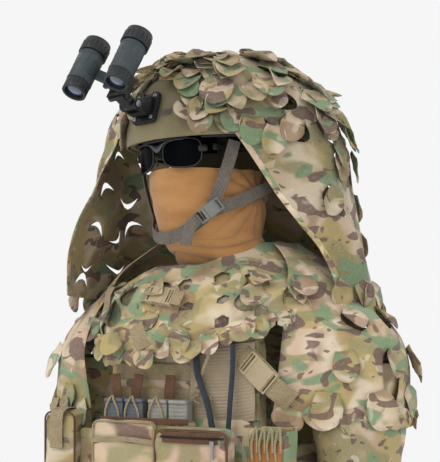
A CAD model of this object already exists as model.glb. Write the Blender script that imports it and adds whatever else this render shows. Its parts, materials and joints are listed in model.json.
"""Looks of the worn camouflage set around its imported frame, in metres. The wearer faces -Y."""

import json
import math
import random

import bmesh
import bpy
from mathutils import Matrix, Vector, noise
from mathutils.geometry import delaunay_2d_cdt


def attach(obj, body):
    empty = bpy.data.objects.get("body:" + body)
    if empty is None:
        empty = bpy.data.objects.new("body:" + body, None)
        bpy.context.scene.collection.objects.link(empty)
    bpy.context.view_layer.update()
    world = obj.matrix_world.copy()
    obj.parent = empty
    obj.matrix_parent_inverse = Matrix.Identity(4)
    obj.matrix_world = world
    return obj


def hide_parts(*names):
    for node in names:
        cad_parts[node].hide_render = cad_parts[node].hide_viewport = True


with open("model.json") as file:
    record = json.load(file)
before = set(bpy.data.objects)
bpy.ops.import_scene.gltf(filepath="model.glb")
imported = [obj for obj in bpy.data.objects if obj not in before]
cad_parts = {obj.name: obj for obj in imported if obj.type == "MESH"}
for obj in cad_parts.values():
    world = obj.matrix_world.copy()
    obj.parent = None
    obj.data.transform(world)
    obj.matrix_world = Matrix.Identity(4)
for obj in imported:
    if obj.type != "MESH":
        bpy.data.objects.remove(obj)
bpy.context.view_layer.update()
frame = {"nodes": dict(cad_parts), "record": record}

MM = 0.001
TAU = 2 * math.pi


# ---------------------------------------------------------------- camera

CAMERA_AZIMUTH = 30.0
CAMERA_ELEVATION = -1.5
CAMERA_DISTANCE = 3.0
CAMERA_TARGET = Vector((-0.0156, -0.009, 0.081))
VIEW_WIDTH = 0.704
SENSOR = 36.0


def make_camera():
    a, e = math.radians(CAMERA_AZIMUTH), math.radians(CAMERA_ELEVATION)
    back = Vector((math.sin(a) * math.cos(e), -math.cos(a) * math.cos(e), math.sin(e)))
    data = bpy.data.cameras.new("camera")
    data.sensor_fit = "HORIZONTAL"
    data.sensor_width = SENSOR
    data.lens = SENSOR * CAMERA_DISTANCE / VIEW_WIDTH
    camera = linked("camera", data)
    camera.location = CAMERA_TARGET + back * CAMERA_DISTANCE
    camera.rotation_euler = back.to_track_quat("Z", "Y").to_euler()
    bpy.context.scene.camera = camera


# ---------------------------------------------------------------- small helpers

def clamp(x, lo=0.0, hi=1.0):
    return max(lo, min(hi, x))


def smooth(x):
    x = clamp(x)
    return x * x * (3 - 2 * x)


def mix(a, b, t):
    return a + (b - a) * t


def cubic(values, t):
    """Catmull-Rom value of a list of numbers or vectors at t in 0..1."""
    n = len(values) - 1
    x = clamp(t) * n
    i = min(int(x), n - 1)
    f = x - i
    p0, p1 = values[max(i - 1, 0)], values[i]
    p2, p3 = values[i + 1], values[min(i + 2, n)]
    return 0.5 * (
        2 * p1 + (p2 - p0) * f + (2 * p0 - 5 * p1 + 4 * p2 - p3) * f * f
        + (3 * p1 - p0 - 3 * p2 + p3) * f * f * f
    )


def wobble(p, scale, seed=0.0):
    """Smooth noise from about -1 to 1 at a point, in waves of about 1 / scale."""
    return noise.noise(Vector((p[0] * scale + seed, p[1] * scale + 2.3 * seed, p[2] * scale - seed)))


def make_object(name, verts, faces, material, shade=True):
    mesh = bpy.data.meshes.new(name)
    mesh.from_pydata([tuple(v) for v in verts], [], faces)
    mesh.update()
    if shade:
        all_smooth(mesh)
    mesh.materials.append(material)
    return linked(name, mesh)


def linked(name, data):
    obj = bpy.data.objects.new(name, data)
    bpy.context.scene.collection.objects.link(obj)
    return obj


def all_smooth(mesh):
    mesh.polygons.foreach_set("use_smooth", [True] * len(mesh.polygons))


def face_outwards(mesh):
    bm = bmesh.new()
    bm.from_mesh(mesh)
    bmesh.ops.recalc_face_normals(bm, faces=bm.faces)
    bm.to_mesh(mesh)
    bm.free()


def bevel_edges(obj, width, angle=None, segments=2):
    """Rounds sharp edges; with an angle in degrees, only those above it, and it evens their shading."""
    bevel = obj.modifiers.new("edge", "BEVEL")
    bevel.width = width
    bevel.segments = segments
    bevel.limit_method = "ANGLE"
    if angle:
        bevel.angle_limit = math.radians(angle)
        bevel.harden_normals = True


def grid_faces(nu, nv, closed=False):
    """Quads of a grid of points stored row by row; a closed grid joins each row's ends."""
    row = nu if closed else nu + 1
    faces = []
    for j in range(nv):
        for i in range(nu):
            a, b = j * row + i, j * row + (i + 1) % row
            faces.append((a, b, b + row, a + row))
    return faces


def set_shift(obj, shifts):
    """Stores each point's pattern offset, which the camouflage material adds to its place."""
    layer = obj.data.attributes.new("shift", "FLOAT_VECTOR", "POINT")
    layer.data.foreach_set("vector", [x for s in shifts for x in s])


def solidify(obj, thickness, offset=-1.0):
    m = obj.modifiers.new("thickness", "SOLIDIFY")
    m.thickness = thickness
    m.offset = offset
    m.use_even_offset = False
    return obj


def place(obj, body="root", nodes=()):
    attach(obj, body)
    if nodes:
        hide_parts(*nodes)
    return obj


# ---------------------------------------------------------------- materials

def srgb(r, g, b):
    def lin(c):
        c /= 255.0
        return c / 12.92 if c <= 0.04045 else ((c + 0.055) / 1.055) ** 2.4
    return (lin(r), lin(g), lin(b), 1.0)


class Shader:
    """A material under construction, with short calls for the nodes that this script uses."""

    def __init__(self, name, roughness=0.8, metallic=0.0, sheen=0.0, specular=0.3):
        self.material = bpy.data.materials.new(name)
        self.material.use_nodes = True
        self.tree = self.material.node_tree
        self.out = self.tree.nodes["Principled BSDF"]
        self.out.inputs["Roughness"].default_value = roughness
        self.out.inputs["Metallic"].default_value = metallic
        self.out.inputs["Sheen Weight"].default_value = sheen
        self.out.inputs["Specular IOR Level"].default_value = specular
        self.coords = self.add("ShaderNodeTexCoord").outputs["Object"]

    def add(self, kind, **inputs):
        made = self.tree.nodes.new(kind)
        for key, value in inputs.items():
            self.put(made.inputs[key.replace("_", " ")], value)
        return made

    def put(self, socket, value):
        if isinstance(value, bpy.types.NodeSocket):
            self.tree.links.new(value, socket)
        else:
            socket.default_value = value

    def noise(self, scale, detail=2.0, distortion=0.0, coords=None, roughness=0.5):
        made = self.add("ShaderNodeTexNoise", Scale=scale, Detail=detail, Distortion=distortion,
                        Roughness=roughness, Vector=coords or self.coords)
        return made.outputs["Fac"]

    def wave(self, scale, direction, distortion=0.0, coords=None):
        made = self.add("ShaderNodeTexWave", Scale=scale, Distortion=distortion, Vector=coords or self.coords)
        made.bands_direction = direction
        return made.outputs["Fac"]

    def math(self, operation, a, b=0.5):
        made = self.tree.nodes.new("ShaderNodeMath")
        made.operation = operation
        self.put(made.inputs[0], a)
        self.put(made.inputs[1], b)
        return made.outputs[0]

    def step(self, value, lo, hi):
        made = self.add("ShaderNodeMapRange", Value=value, From_Min=lo, From_Max=hi)
        made.interpolation_type = "SMOOTHSTEP"
        return made.outputs["Result"]

    def blend(self, a, b, factor):
        made = self.tree.nodes.new("ShaderNodeMix")
        made.data_type = "RGBA"
        self.put(made.inputs["Factor"], factor)
        self.put(made.inputs[6], a)
        self.put(made.inputs[7], b)
        return made.outputs[2]

    def shifted(self):
        attribute = self.tree.nodes.new("ShaderNodeAttribute")
        attribute.attribute_name = "shift"
        made = self.tree.nodes.new("ShaderNodeVectorMath")
        self.put(made.inputs[0], self.coords)
        self.put(made.inputs[1], attribute.outputs["Vector"])
        return made.outputs["Vector"]

    def scaled(self, coords, x, y, z):
        made = self.add("ShaderNodeMapping", Vector=coords, Scale=(x, y, z))
        return made.outputs["Vector"]

    def bump(self, height, strength, distance=0.001):
        before = self.out.inputs["Normal"]
        made = self.add("ShaderNodeBump", Height=height, Strength=strength, Distance=distance)
        if before.is_linked:
            self.put(made.inputs["Normal"], before.links[0].from_socket)
        self.put(before, made.outputs["Normal"])

    def weave(self, pitch, strength, coords=None):
        """Crossed threads of the given pitch in metres, seen from any side."""
        scale = TAU / 20 / pitch
        a = self.wave(scale, "X", coords=coords)
        b = self.wave(scale, "Y", coords=coords)
        c = self.wave(scale, "Z", coords=coords)
        self.bump(self.math("ADD", self.math("ADD", a, b), c), strength, pitch * 0.5)

    def colour(self, value):
        self.put(self.out.inputs["Base Color"], value)
        return self

    def rough(self, lo, hi, scale):
        made = self.add("ShaderNodeMapRange", Value=self.noise(scale), To_Min=lo, To_Max=hi)
        self.put(self.out.inputs["Roughness"], made.outputs["Result"])


CAMO_TINT = {
    "tan": srgb(190, 171, 142), "pale": srgb(208, 192, 168), "gold": srgb(170, 152, 104),
    "olive": srgb(138, 132, 94), "green": srgb(112, 140, 106), "brown": srgb(136, 106, 84),
    "plum": srgb(104, 82, 76), "cream": srgb(220, 208, 188), "pink": srgb(190, 156, 136),
}


def camo(name, size=1.0, dirt=0.12, warm=0.0, shade=1.0, weave_mm=1.1):
    """Printed cloth: soft drifts of tan, gold and olive under crisp patches and small slivers."""
    s = Shader(name, roughness=0.88, sheen=0.12, specular=0.18)
    at = s.shifted()
    tint = {k: tuple(c * shade for c in v[:3]) + (1.0,) for k, v in CAMO_TINT.items()}

    def patch(below, colour, scale, lo, hi, stretch=(1, 1, 1), distortion=0.8, amount=1.0, detail=1.5):
        fac = s.step(s.noise(scale / size, detail, distortion, s.scaled(at, *stretch)), lo, hi)
        return s.blend(below, tint[colour], s.math("MULTIPLY", fac, amount))

    base = s.blend(tint["tan"], tint["pale"], s.step(s.noise(11 / size, 1, coords=at), 0.38, 0.58))
    base = patch(base, "pink", 9, 0.48, 0.62, amount=0.5 + warm)
    base = patch(base, "gold", 10, 0.47, 0.58, (1, 1.2, 1.5))
    base = patch(base, "olive", 13, 0.5, 0.6, (1.2, 1, 1.6), amount=0.8)
    base = patch(base, "brown", 11, 0.56, 0.64, (1.1, 1, 1.6), 0.9, 0.6)
    base = patch(base, "green", 15, 0.56, 0.61, (1, 1, 1.9), 0.6, 0.85)
    base = patch(base, "plum", 20, 0.6, 0.615, (1.1, 1, 1.8), 0.7, 0.85)
    base = patch(base, "plum", 38, 0.665, 0.68, (1, 1.5, 1.8), 0.6, 0.8)
    base = patch(base, "cream", 26, 0.64, 0.67, (1.4, 1, 1.4), 0.8, 0.4)
    grime = s.math("MULTIPLY", s.step(s.noise(5, 4), 0.4, 0.75), dirt)
    base = s.blend(base, srgb(96, 84, 66), grime)
    fade = s.noise(260, 2)
    base = s.blend(base, srgb(214, 202, 180), s.math("MULTIPLY", s.step(fade, 0.5, 0.8), 0.16))
    s.colour(base)
    s.rough(0.78, 0.95, 30)
    s.weave(weave_mm * MM, 0.22)
    s.bump(s.noise(38, 3), 0.35, 0.004)
    return s.material


def plain_cloth(name, colour, dark, roughness=0.9, pitch=1.0, bump=0.3, streak=(1, 1, 1), sheen=0.15):
    s = Shader(name, roughness=roughness, sheen=sheen, specular=0.15)
    cloud = s.step(s.noise(14, 4, coords=s.scaled(s.coords, *streak)), 0.35, 0.7)
    fine = s.step(s.noise(900, 1), 0.3, 0.8)
    base = s.blend(colour, dark, s.math("MULTIPLY", cloud, 0.55))
    s.colour(s.blend(base, dark, s.math("MULTIPLY", fine, 0.3)))
    s.weave(pitch * MM, bump)
    s.bump(s.noise(60, 3), 0.2, 0.003)
    return s.material


def webbing_cloth(name, colour, dark, rib=1.6):
    """Narrow woven strap: cross ribs and slightly fuzzy, worn edges."""
    s = Shader(name, roughness=0.86, sheen=0.1, specular=0.2)
    worn = s.step(s.noise(45, 5), 0.45, 0.75)
    base = s.blend(colour, dark, s.step(s.noise(700, 1), 0.35, 0.75))
    s.colour(s.blend(base, dark, s.math("MULTIPLY", worn, 0.6)))
    s.weave(rib * MM, 0.55)
    return s.material


def moulded(name, colour, wear, roughness=0.5, specular=0.4, grain=650.0, wear_amount=0.5, metallic=0.0):
    """Moulded or painted hard part with fine grain and rubbed patches."""
    s = Shader(name, roughness=roughness, specular=specular, metallic=metallic)
    rub = s.math("MULTIPLY", s.step(s.noise(55, 6, 0.6), 0.52, 0.72), wear_amount)
    speck = s.math("MULTIPLY", s.step(s.noise(grain, 2), 0.62, 0.8), wear_amount * 0.6)
    s.colour(s.blend(s.blend(colour, wear, rub), wear, speck))
    s.rough(roughness - 0.1, roughness + 0.15, 40)
    s.bump(s.noise(grain, 2), 0.18, 0.0006)
    return s.material


def glass(name, colour, tint, roughness=0.04):
    """Coated optic: dark and glossy with a coloured sheen where it turns away."""
    s = Shader(name, roughness=roughness, specular=0.8)
    layer = s.add("ShaderNodeLayerWeight", Blend=0.35)
    smear = s.math("MULTIPLY", s.noise(60, 3), 0.3)
    s.colour(s.blend(colour, tint, s.math("ADD", s.math("MULTIPLY", layer.outputs["Facing"], 0.7), smear)))
    s.out.inputs["Coat Weight"].default_value = 1.0
    s.out.inputs["Coat Roughness"].default_value = 0.03
    return s.material


M = {
    "hood": camo("camo_hood", 1.15, shade=0.84),
    "hood_leaf": camo("camo_hood_leaf", 1.2, shade=0.88),
    "cape": camo("camo_cape", 1.15, dirt=0.06, warm=0.1, shade=1.05),
    "yoke": camo("camo_yoke", 1.0, dirt=0.04, warm=0.3, shade=1.06),
    "yoke_under": camo("camo_yoke_under", 1.0, dirt=0.1, warm=0.25, shade=0.72),
    "sleeve": camo("camo_sleeve", 1.1, dirt=0.08, warm=0.15),
    "cover": plain_cloth("cover_cloth", srgb(139, 129, 100), srgb(104, 96, 72), pitch=0.9),
    "carrier": camo("camo_carrier", 1.35, dirt=0.1, weave_mm=1.4),
    "pouch": camo("camo_pouch", 1.6, dirt=0.08, warm=0.2, weave_mm=1.4),
    "gold_pouch": camo("camo_gold_pouch", 2.3, dirt=0.06, warm=0.1, shade=1.1, weave_mm=1.4),
    "gaiter": plain_cloth("gaiter_knit", srgb(180, 133, 84), srgb(142, 97, 56), pitch=0.8, bump=0.18,
                          streak=(1, 1, 3), sheen=0.25),
    "strap": webbing_cloth("grey_webbing", srgb(119, 112, 103), srgb(84, 78, 72)),
    "tan_web": webbing_cloth("tan_webbing", srgb(172, 155, 122), srgb(132, 116, 88)),
    "brown_web": webbing_cloth("brown_webbing", srgb(112, 80, 58), srgb(74, 54, 40)),
    "ribbed": plain_cloth("ribbed_elastic", srgb(172, 156, 132), srgb(128, 112, 90), pitch=1.6, bump=0.4),
    "black": moulded("black_metal", srgb(28, 29, 31), srgb(92, 92, 92), 0.42, wear_amount=0.25, metallic=0.3),
    "viewer": moulded("viewer_body", srgb(50, 60, 63), srgb(78, 88, 89), 0.5, wear_amount=0.3),
    "plastic": moulded("black_plastic", srgb(26, 28, 30), srgb(70, 72, 74), 0.45, wear_amount=0.25),
    "steel": moulded("steel", srgb(150, 150, 152), srgb(90, 88, 86), 0.3, wear_amount=0.4, metallic=0.9),
    "eye_glass": glass("eyepiece_glass", srgb(12, 20, 34), srgb(52, 84, 122)),
    "front_glass": glass("objective_glass", srgb(12, 16, 22), srgb(88, 70, 118)),
    "dark_lens": moulded("dark_lens", srgb(4, 5, 7), srgb(9, 10, 12), 0.24, specular=0.02, wear_amount=0.2),
    "dark_rim": moulded("black_plastic", srgb(13, 14, 16), srgb(40, 41, 44), 0.4, wear_amount=0.2),
    "frame_grey": moulded("frame_grey", srgb(70, 70, 78), srgb(46, 46, 52), 0.38, wear_amount=0.35),
    "grey_buckle": moulded("grey_buckle", srgb(108, 110, 104), srgb(72, 74, 70), 0.42, wear_amount=0.4),
    "tan_plastic": moulded("tan_plastic", srgb(166, 150, 118), srgb(122, 108, 82), 0.45, wear_amount=0.35),
    "shell": moulded("helmet_paint", srgb(110, 102, 80), srgb(78, 72, 58), 0.8, wear_amount=0.3),
    "foam": plain_cloth("pad_cloth", srgb(24, 24, 24), srgb(14, 14, 14), pitch=1.2),
    "tube": webbing_cloth("tube_sleeve", srgb(64, 72, 80), srgb(40, 46, 54), 1.2),
    "magazine": moulded("magazine_grey", srgb(92, 97, 102), srgb(134, 137, 138), 0.5, wear_amount=0.35),
    "magazine_pale": moulded("magazine_pale", srgb(142, 140, 132), srgb(98, 96, 88), 0.5, wear_amount=0.4),
    "armour": moulded("armour", srgb(66, 68, 64), srgb(44, 46, 44), 0.7, wear_amount=0.2),
    "orange": plain_cloth("orange_cloth", srgb(168, 112, 62), srgb(126, 84, 48), pitch=1.2),
}


# ---------------------------------------------------------------- head frame

HEAD_FORWARD = 66 * MM
HEAD_TURN = math.radians(12)
HEAD_LEAN = math.radians(5)
LEAN_Z = 190 * MM
HEAD = (
    Matrix.Translation((0, -HEAD_FORWARD, 0)) @ Matrix.Rotation(-HEAD_TURN, 4, "Z")
    @ Matrix.Translation((0, 0, LEAN_Z)) @ Matrix.Rotation(-HEAD_LEAN, 4, "Y")
    @ Matrix.Translation((0, 0, -LEAN_Z))
)


def in_head(x, y, z):
    return HEAD @ Vector((x * MM, y * MM, z * MM))


# ---------------------------------------------------------------- cut cloth

# Rings of the hood, in mm: height back and front, centre y, half width, reach back, reach forward near and
# far, edge angle near and far. The near side lies closer to the head than the frame's. At the crown the two
# edges meet. The rings after it are the frame's own, as height, half width, reach back, reach forward and
# edge angle for the cape.
HOOD = [
    (361, 361, -62, 5, 6, 6, 6, 178, 178),
    (356, 355, -60, 48, 54, 44, 44, 178, 178),
    (332, 338, -56, 104, 110, 88, 84, 172, 172),
    (298, 302, -44, 150, 142, 130, 120, 160, 146),
    (254, 258, -30, 190, 160, 150, 147, 157, 143),
    (198, 202, -20, 206, 166, 151, 175, 148, 136),
    (134, 138, -10, 210, 166, 138, 267, 138, 124),
    (46, 50, 0, 234, 168, 148, 387, 120, 114),
    (-58, -8, 10, 246, 176, 170, 360, 113, 116),
]
CAPE = [
    (60, 118, 105, 100, 115), (15, 190, 130, 130, 125), (-28, 232, 154, 150, 132),
    (-60, 272, 166, 160, 137), (-90, 304, 170, 165, 141), (-125, 317, 170, 168, 143),
    (-200, 318, 171, 170, 145),
]
CAPE_Y = -10
YOKE = [
    (22, 30, 112, 108, 1), (0, 8, 142, 132, 0.5), (-35, -8, 164, 155, 0.5), (-70, -22, 172, 166, 0.45),
    (-103, -36, 176, 169, 0.45),
]
YOKE_Y = -20
YOKE_SPAN = 104
YOKE_SKEW = 42
GAITER = [
    (165, 0, 80, 112, 88), (140, 0, 84, 110, 88), (105, 0, 80, 104, 84),
    (68, 0, 72, 96, 76), (48, 14, 72, 80, 66), (12, 42, 78, 70, 68),
]
SLEEVE = [(-122, 66, 84), (-210, 66, 88), (-300, 64, 86), (-410, 62, 78)]
SLEEVE_CENTRE = {"left": (234, -16), "right": (-234, -12)}
HELMET_W, HELMET_L, HELMET_H, HELMET_Z = 116, 134, 131, 215
BRIM_Z, NAPE_Z = 216, 172
COVER_GAP = 4


def rows_at(rows, v):
    return [cubic([r[k] for r in rows], v) for k in range(len(rows[0]))]


def hood_base(u, v):
    zb, zf, cy, a, b, fn, ff, en, ef = rows_at(HOOD, v)
    ang = math.radians(mix(-ef, en, u))
    s, c = math.sin(ang), math.cos(ang)
    reach = b if c > 0 else mix(ff, fn, smooth(s * 2 + 0.5))
    inset = 2 + 6 * smooth(v * 3)
    return Vector(((a - inset) * s, cy + (reach - inset) * c, mix(zb, zf, (1 - c) / 2))) * MM


def cape_base(u, v):
    z, a, b, f, e = rows_at(CAPE, v)
    ang = math.radians(e + 5 * smooth(u * 4 - 3) * smooth(v * 3)) * (2 * u - 1)
    s, c = math.sin(ang), math.cos(ang)
    inset = 2 + 7 * smooth((v - 0.25) * 2)
    return Vector(((a - inset) * s, CAPE_Y + ((b if c > 0 else f) - inset) * c, z)) * MM


def yoke_base(u, v):
    zf, zs, a, f, power = rows_at(YOKE, v)
    ang = math.radians(YOKE_SPAN) * (2 * u - 1)
    s, c = math.sin(ang), math.cos(ang)
    w = max(0.0, c)
    rise = 34 * smooth((math.degrees(ang) - 4) / 60) * (1 - v) ** 3
    z = zs + (zf - zs) * w + YOKE_SKEW * s * w * v + rise
    a, f = a - 0.4 * rise, f - 0.4 * rise
    return Vector((a * s, YOKE_Y - f * (w ** power if c > 0 else c), z)) * MM


class Surface:
    """A cloth surface over u, v in 0..1, with folds added along its normal, and its cuts and raised tabs."""

    def __init__(self, base, folds, faces_front, seed=0):
        self.base, self.folds, self.outward = base, folds, 1.0
        self.holes, self.tabs = [], Tabs(seed)
        if (self.frame(0.5, 0.6)[3].y > 0) == faces_front:
            self.outward = -1.0

    def frame(self, u, v, d=0.004):
        """Point, steps per unit of u and v, and the outward normal of the unfolded surface."""
        u0, u1 = clamp(u - d), clamp(u + d)
        v0, v1 = clamp(v - d), clamp(v + d)
        pu = (self.base(u1, v) - self.base(u0, v)) / (u1 - u0)
        pv = (self.base(u, v1) - self.base(u, v0)) / (v1 - v0)
        n = pu.cross(pv)
        n = n.normalized() * self.outward if n.length > 1e-12 else Vector((0, 0, 1))
        return self.base(u, v), pu, pv, n

    def at(self, u, v):
        p, _, _, n = self.frame(u, v)
        return p + n * self.folds(u, v, p)


def tongue(t):
    """Half width of a round-ended tab at share t of its length."""
    neck = min(1.0, 0.66 + 0.9 * t)
    return neck * (1.0 if t < 0.55 else math.sqrt(max(0.0, 1 - ((t - 0.55) / 0.45) ** 2)))


def leaf(t):
    return max(0.0, math.sin(math.pi * min(1.0, 0.12 + 0.88 * t) ** 0.85)) ** 0.75


def wavy_leaf(t):
    return leaf(t) * (0.84 + 0.2 * math.sin(t * 17))


SHAPES = {"tongue": tongue, "leaf": leaf, "wavy": wavy_leaf}


def outline(shape, width, length, steps=7):
    """Points around a tab in its own plane, from one root corner round the tip to the other."""
    half = SHAPES[shape]
    ts = [math.sin(k / steps * math.pi / 2) for k in range(steps + 1)]
    right = [(half(t) * width / 2, t * length) for t in ts]
    left = [(-x, y) for x, y in reversed(right[:-1])]
    return right + left


class Tabs:
    """Many curled tabs of cloth gathered into one mesh."""

    def __init__(self, seed):
        self.rng = random.Random(seed)
        self.verts, self.faces, self.shifts = [], [], []

    def add(self, root, across, down, normal, width, length, lift, curl, shape="tongue", cup=0.0, shift=None):
        """lift and curl are the tab's angle off the cloth at its root and at its tip, in radians."""
        nx, ny = 6, 7
        first = len(self.verts)
        half = SHAPES[shape]
        if shift is None:
            shift = tuple(self.rng.uniform(-2, 2) for _ in range(3))
        centre, before = Vector(root), 0.0
        for j in range(ny + 1):
            t = math.sin(j / ny * math.pi / 2)
            bend = mix(lift, curl, t)
            centre = centre + (down * math.cos(bend) + normal * math.sin(bend)) * (length * (t - before))
            before = t
            w = max(0.04, half(t)) * width / 2
            up = normal * math.cos(bend) - down * math.sin(bend)
            for i in range(nx + 1):
                x = 2 * i / nx - 1
                ruffle = cup * w * x * x + 0.06 * w * math.sin(9 * t + 3 * x + shift[0])
                self.verts.append(centre + across * (w * x) + up * ruffle)
                self.shifts.append(shift)
        self.faces += [tuple(first + k for k in f) for f in grid_faces(nx, ny)]

    def build(self, name, material, thickness=0.0008):
        obj = make_object(name, self.verts, self.faces, material)
        set_shift(obj, self.shifts)
        return solidify(obj, thickness, 0.0)


def inside(poly, x, y):
    hit = False
    j = len(poly) - 1
    for i in range(len(poly)):
        (xi, yi), (xj, yj) = poly[i], poly[j]
        if (yi > y) != (yj > y) and x < (xj - xi) * (y - yi) / (yj - yi) + xi:
            hit = not hit
        j = i
    return hit


def within(points, margin):
    return all(margin < u < 1 - margin and margin < v < 1 - margin for u, v in points)


def cut_sheet(name, surface, nu, nv, material, thickness=0.001, shift=(0, 0, 0), span=(1.0, 1.0)):
    """A sheet over the surface with its real holes, which are closed outlines in u, v."""
    su, sv = span
    boxes = []
    for h in surface.holes:
        us, vs = [u for u, _ in h], [v for _, v in h]
        boxes.append((min(us), max(us), min(vs), max(vs), h))

    def in_hole(u, v):
        return any(u0 < u < u1 and v0 < v < v1 and inside(h, u, v) for u0, u1, v0, v1, h in boxes)

    points, edges = [], []
    for j in range(nv + 1):
        for i in range(nu + 1):
            u, v = i / nu, j / nv
            edge = i in (0, nu) or j in (0, nv)
            if edge or not in_hole(u, v):
                points.append((u, v))
    for h in surface.holes:
        first = len(points)
        points += h
        edges += [(first + k, first + (k + 1) % len(h)) for k in range(len(h))]
    flat = [Vector((u * su, v * sv)) for u, v in points]
    out = delaunay_2d_cdt(flat, edges, [], 0, 1e-6)
    coords, faces = out[0], out[2]
    kept = []
    for f in faces:
        cu = sum(coords[i].x for i in f) / len(f) / su
        cv = sum(coords[i].y for i in f) / len(f) / sv
        if not in_hole(cu, cv):
            kept.append(tuple(f))
    used = sorted({i for f in kept for i in f})
    index = {old: new for new, old in enumerate(used)}
    verts = [surface.at(clamp(coords[i].x / su), clamp(coords[i].y / sv)) for i in used]
    obj = make_object(name, verts, [tuple(index[i] for i in f) for f in kept], material)
    face_outwards(obj.data)
    set_shift(obj, [shift] * len(verts))
    return solidify(obj, thickness, 0.0)


def tab_on(surface, u, v, turn, width, length, lift, curl, shape, cut, raise_mm=1.0, cup=0.25):
    """Cuts one tab in the sheet at u, v and folds it outwards; turn is its direction in radians from down."""
    _, pu, pv, n = surface.frame(u, v)
    eu, ev = pu.normalized(), pv.normalized()
    ev = (ev - eu * ev.dot(eu)).normalized()
    down = (ev * math.cos(turn) + eu * math.sin(turn)).normalized()
    across = n.cross(down).normalized()
    if cut:
        hole = []
        for x, y in outline(shape, width, length):
            step = across * x + down * (y + 0.001)
            hole.append((u + step.dot(eu) / pu.length, v + step.dot(ev) / pv.length))
        if all(0.004 < a < 0.996 and 0.004 < b < 0.992 for a, b in hole):
            surface.holes.append(hole)
    root = surface.at(u, v) + n * raise_mm * MM
    surface.tabs.add(root, across, down, n, width, length, lift, curl, shape, cup)


def row_points(surface, pitch, start, stop, u=0.5, along="v"):
    """Values of v (or u) about pitch metres apart along the surface."""
    n = 120
    def at(x):
        return surface.base(u, x) if along == "v" else surface.base(x, u)
    out, run, last = [], 0.0, at(start)
    for i in range(1, n + 1):
        x = mix(start, stop, i / n)
        p = at(x)
        run += (p - last).length
        last = p
        if run >= pitch:
            out.append(x)
            run = 0.0
    return out


def ahead_of(points, k):
    """Direction of an open line at its point k."""
    return (points[min(k + 1, len(points) - 1)] - points[max(k - 1, 0)]).normalized()


def ribbon(name, path, across, width, thickness, material, sag=0.0):
    """A strap along the path; across holds one direction per point."""
    cols = 4
    verts = []
    for k, (p, a) in enumerate(zip(path, across)):
        a = a.normalized()
        up = ahead_of(path, k).cross(a).normalized()
        for c in range(cols + 1):
            x = 2 * c / cols - 1
            verts.append(p + a * (x * width / 2) + up * (sag * (1 - x * x)))
    obj = make_object(name, verts, grid_faces(cols, len(path) - 1), material)
    solidify(obj, thickness, 0.0)
    bevel_edges(obj, thickness * 0.35)
    return obj


def spline(points, count):
    points = [Vector(p) for p in points]
    return [cubic(points, k / (count - 1)) for k in range(count)]


def mm_path(points, count):
    return [p * MM for p in spline(points, count)]


# ---------------------------------------------------------------- hood

rng = random.Random(41)
draw = rng.uniform


def tilt(low, high):
    return math.radians(draw(low, high))


def hood_folds(u, v, p):
    ripple = max(-4.0, wobble(p, 9, 3.1) * 9 + wobble(p, 24, 8.2) * 3.5)
    hang = 5 * math.sin(u * 36 + 3 * wobble(p, 5, 1.7)) * smooth((v - 0.35) * 2.5)
    return (ripple * smooth(v * 7) + hang) * MM


hood = Surface(hood_base, hood_folds, False, 5)


SLIT_POINTS = 16
SLIT_BOW = 0.34


def slit(surface, u, v, turn, width, gap):
    """A thin crescent cut, open by gap metres in its middle."""
    _, pu, pv, _ = surface.frame(u, v)
    out = []
    for k in range(SLIT_POINTS):
        side = TAU * k / SLIT_POINTS
        x = math.cos(side) * width / 2
        open_here = 1 - (2 * x / width) ** 2
        y = SLIT_BOW * width * open_here + (gap / 2 if math.sin(side) > 0 else -gap / 2) * open_here
        dx, dy = x * math.cos(turn) - y * math.sin(turn), x * math.sin(turn) + y * math.cos(turn)
        out.append((u + dx / pu.length, v + dy / pv.length))
    return out


# The photo shows crescent cuts on the far side, few leaves by the near cheek, and leaves elsewhere.
for j, v in enumerate(row_points(hood, 0.054, 0.03, 0.97)):
    for u in row_points(hood, 0.060, 0.0, 1.0, u=v, along="u"):
        u = u - (0.03 if j % 2 else 0.0) + draw(-0.008, 0.008)
        if not 0.03 < u < 0.975:
            continue
        at = hood.frame(u, v)[0]
        far_side, near_cheek = u < 0.34 and v > 0.3, u > 0.72 and v > 0.52
        if far_side:
            turn = rng.choice([0.0, math.pi]) + draw(-0.7, 0.7)
            cut = slit(hood, u, v, turn, draw(0.040, 0.054), draw(0.005, 0.011))
            if within(cut, 0.01) and at.x < -0.07:
                hood.holes.append(cut)
            continue
        if near_cheek and rng.random() < 0.8 or rng.random() < (0.35 if v < 0.3 else 0.12):
            continue
        lift = tilt(2, 13)
        curl = lift * draw(-0.8, 0.6)
        if rng.random() < 0.12:
            lift, curl = lift + math.radians(12), lift + tilt(20, 38)
        behind_head = at.y > 0.0 and abs(at.x) < 0.16 and -0.06 < at.z < 0.17
        size = draw(0.9, 1.15)
        tab_on(hood, u, v + draw(-0.006, 0.006), tilt(-42, 42) * (1.7 if v < 0.45 else 1), 0.045 * size,
               0.050 * size, lift, curl, "tongue", not behind_head, 1.0, draw(0.05, 0.4))
EXTRA_LEAVES = 46
HOOD_FRINGE, CAPE_FRINGE, YOKE_FRINGE = 26, 30, 22
for _ in range(EXTRA_LEAVES):
    u, v = draw(0.36, 0.985), draw(0.12, 0.56)
    lift = tilt(3, 16)
    tab_on(hood, u, v, tilt(-60, 60), draw(0.038, 0.054), draw(0.045, 0.064), lift, lift * draw(0.0, 1.2),
           rng.choice(["tongue", "tongue", "tongue", "leaf"]), False, 3.0, draw(0.1, 0.5))
for k in range(HOOD_FRINGE):
    lift = tilt(0, 22)
    along = mix(0.04, 0.97, k / (HOOD_FRINGE - 1))
    tab_on(hood, along, 0.955 + draw(-0.01, 0.005), tilt(-35, 35), 0.040, draw(0.036, 0.05),
           lift, lift * draw(-0.3, 1.2), rng.choice(["tongue", "tongue", "leaf"]), False, 0.5, 0.2)

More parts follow.
